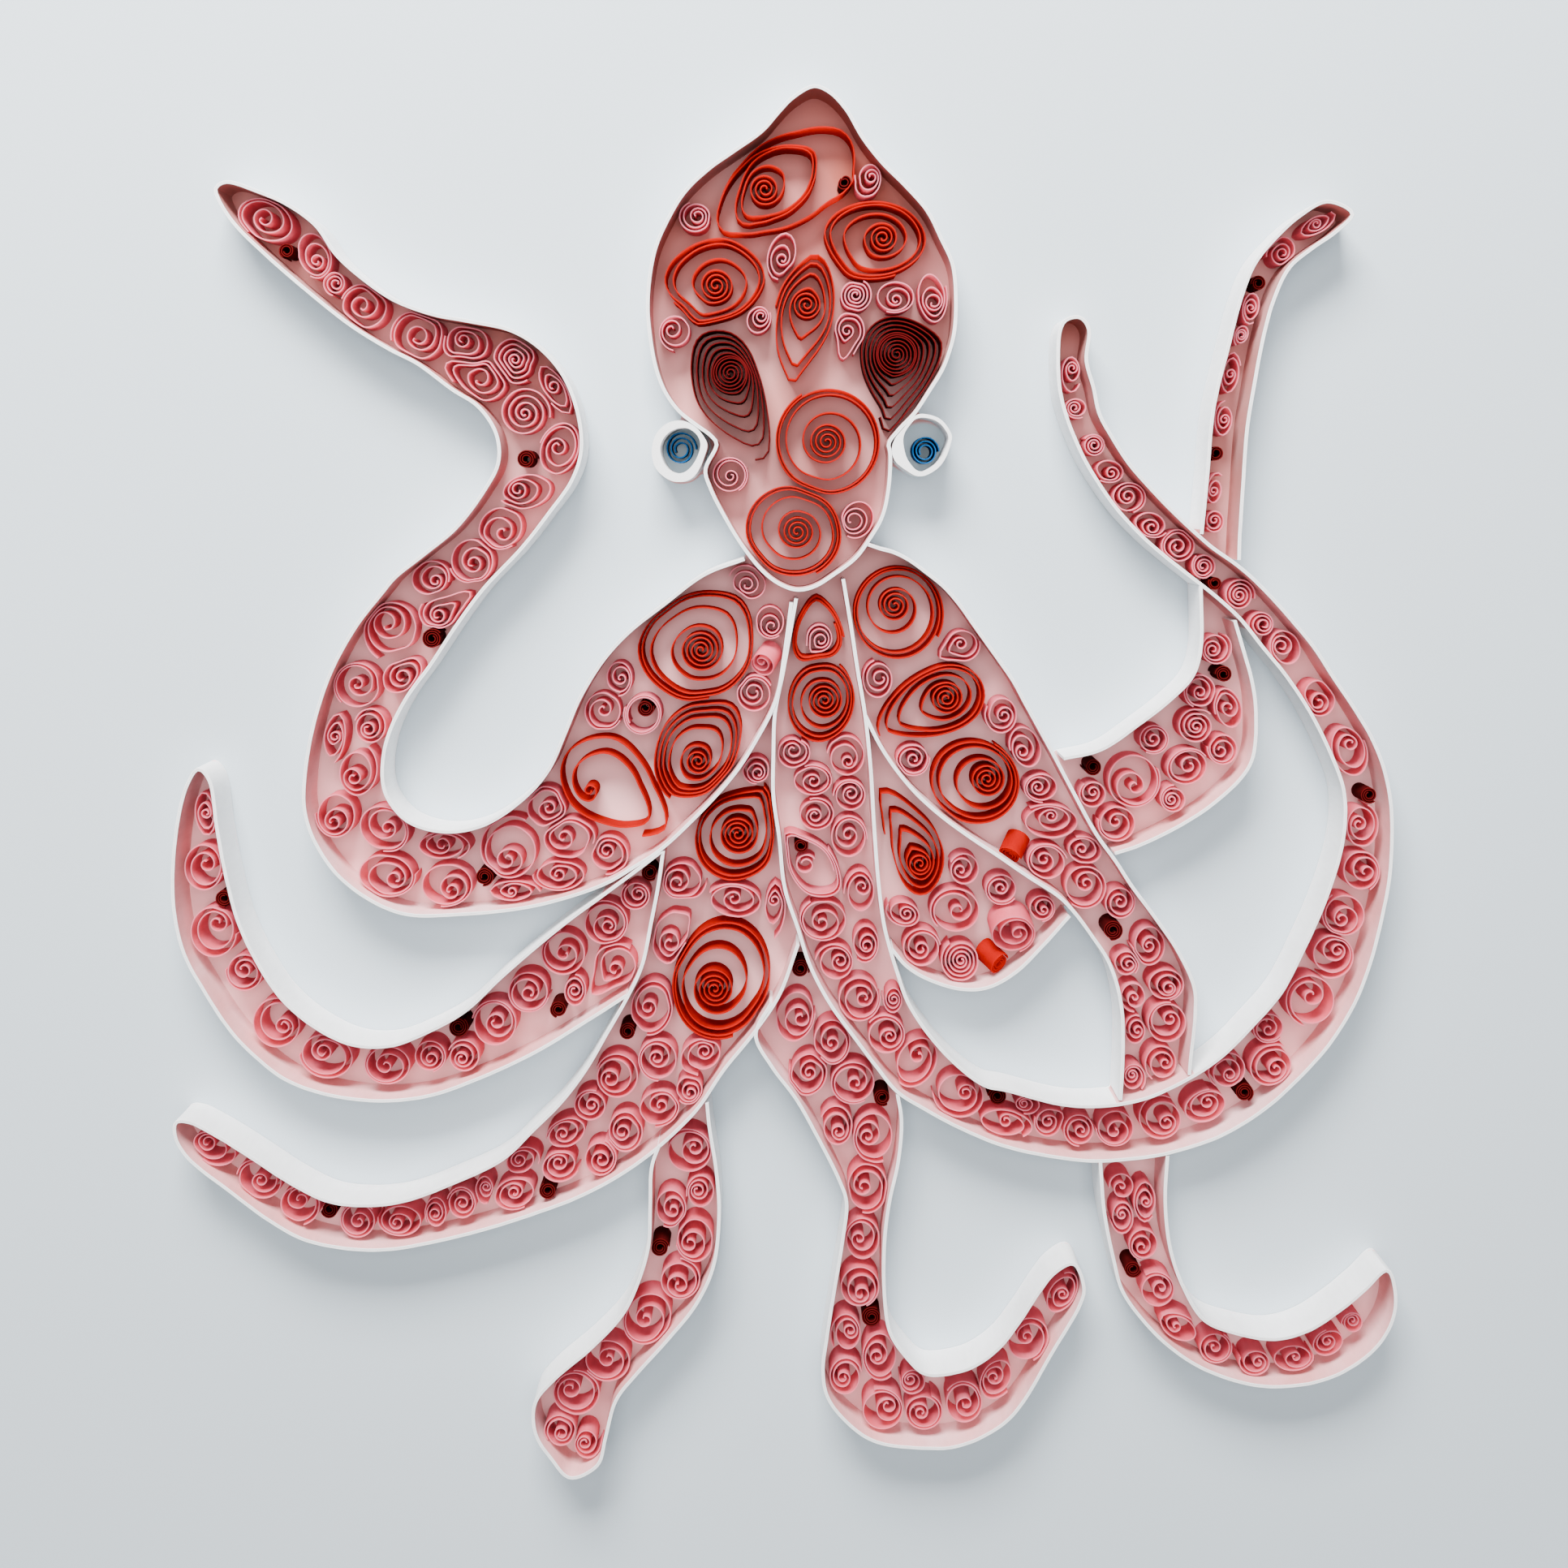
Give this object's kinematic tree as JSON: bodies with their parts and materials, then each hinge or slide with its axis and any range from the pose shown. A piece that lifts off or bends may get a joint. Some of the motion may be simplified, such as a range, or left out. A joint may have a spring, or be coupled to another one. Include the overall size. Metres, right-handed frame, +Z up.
{
  "type": "paper octopus",
  "caption": "Quilled paper octopus: rolled paper coils glued inside paper strips stood on edge on a cut white card.",
  "frame": {"origin": "centre of the bounding box, on the underside of the backing card", "axes": "+Z up out of the card's face towards the open tops of the strips, +Y towards the crown of the head, +X to the right seen from above"},
  "size_m": [0.2632, 0.2968, 0.01],
  "materials": {
    "white_card": "matt white card",
    "white_strip": "matt white heavy paper strip",
    "pink_paper": "matt pink paper strip",
    "red_paper": "matt red paper strip",
    "maroon_paper": "matt dark maroon paper strip",
    "blue_paper": "matt blue paper strip"
  },
  "bodies": {
    "root": {"arm_bottom_left_maroon_rolls": "maroon_paper", "arm_bottom_left_pink_coils": "pink_paper", "arm_bottom_left_wall": "white_strip", "arm_bottom_middle_maroon_rolls": "maroon_paper", "arm_bottom_middle_pink_coils": "pink_paper", "arm_bottom_middle_wall": "white_strip", "arm_long_right_maroon_rolls": "maroon_paper", "arm_long_right_pink_coils": "pink_paper", "arm_long_right_red_coils": "red_paper", "arm_long_right_wall": "white_strip", "arm_lower_left_maroon_rolls": "maroon_paper", "arm_lower_left_pink_coils": "pink_paper", "arm_lower_left_red_coils": "red_paper", "arm_lower_left_wall": "white_strip", "arm_lower_right_inner_wall": "white_strip", "arm_lower_right_maroon_rolls": "maroon_paper", "arm_lower_right_outer_wall": "white_strip", "arm_lower_right_pink_coils": "pink_paper", "arm_lower_right_red_coils": "red_paper", "arm_lower_right_tip_maroon_rolls": "maroon_paper", "arm_lower_right_tip_pink_coils": "pink_paper", "arm_lower_right_tip_wall": "white_strip", "arm_middle_left_maroon_rolls": "maroon_paper", "arm_middle_left_pink_coils": "pink_paper", "arm_middle_left_wall": "white_strip", "arm_upper_left_maroon_rolls": "maroon_paper", "arm_upper_left_pink_coils": "pink_paper", "arm_upper_left_red_coils": "red_paper", "arm_upper_left_wall": "white_strip", "arm_upper_right_bottom_wall": "white_strip", "arm_upper_right_maroon_rolls": "maroon_paper", "arm_upper_right_pink_coils": "pink_paper", "arm_upper_right_root_pink_coils": "pink_paper", "arm_upper_right_root_red_coils": "red_paper", "arm_upper_right_root_wall": "white_strip", "arm_upper_right_tip_maroon_rolls": "maroon_paper", "arm_upper_right_tip_pink_coils": "pink_paper", "arm_upper_right_tip_wall": "white_strip", "arm_upper_right_top_wall": "white_strip", "backing_card": "white_card", "head_chin_coil": "red_paper", "head_crown_coil": "red_paper", "head_left_brow_coil": "red_paper", "head_maroon_roll": "maroon_paper", "head_mouth_coil": "red_paper", "head_nose_coil": "red_paper", "head_pink_coils": "pink_paper", "head_right_brow_coil": "red_paper", "head_wall": "white_strip", "left_eye_blue_coil": "blue_paper", "left_eye_teardrop": "maroon_paper", "left_eye_tube": "white_strip", "right_eye_blue_coil": "blue_paper", "right_eye_teardrop": "maroon_paper", "right_eye_tube": "white_strip"}
  },
  "joints": []
}
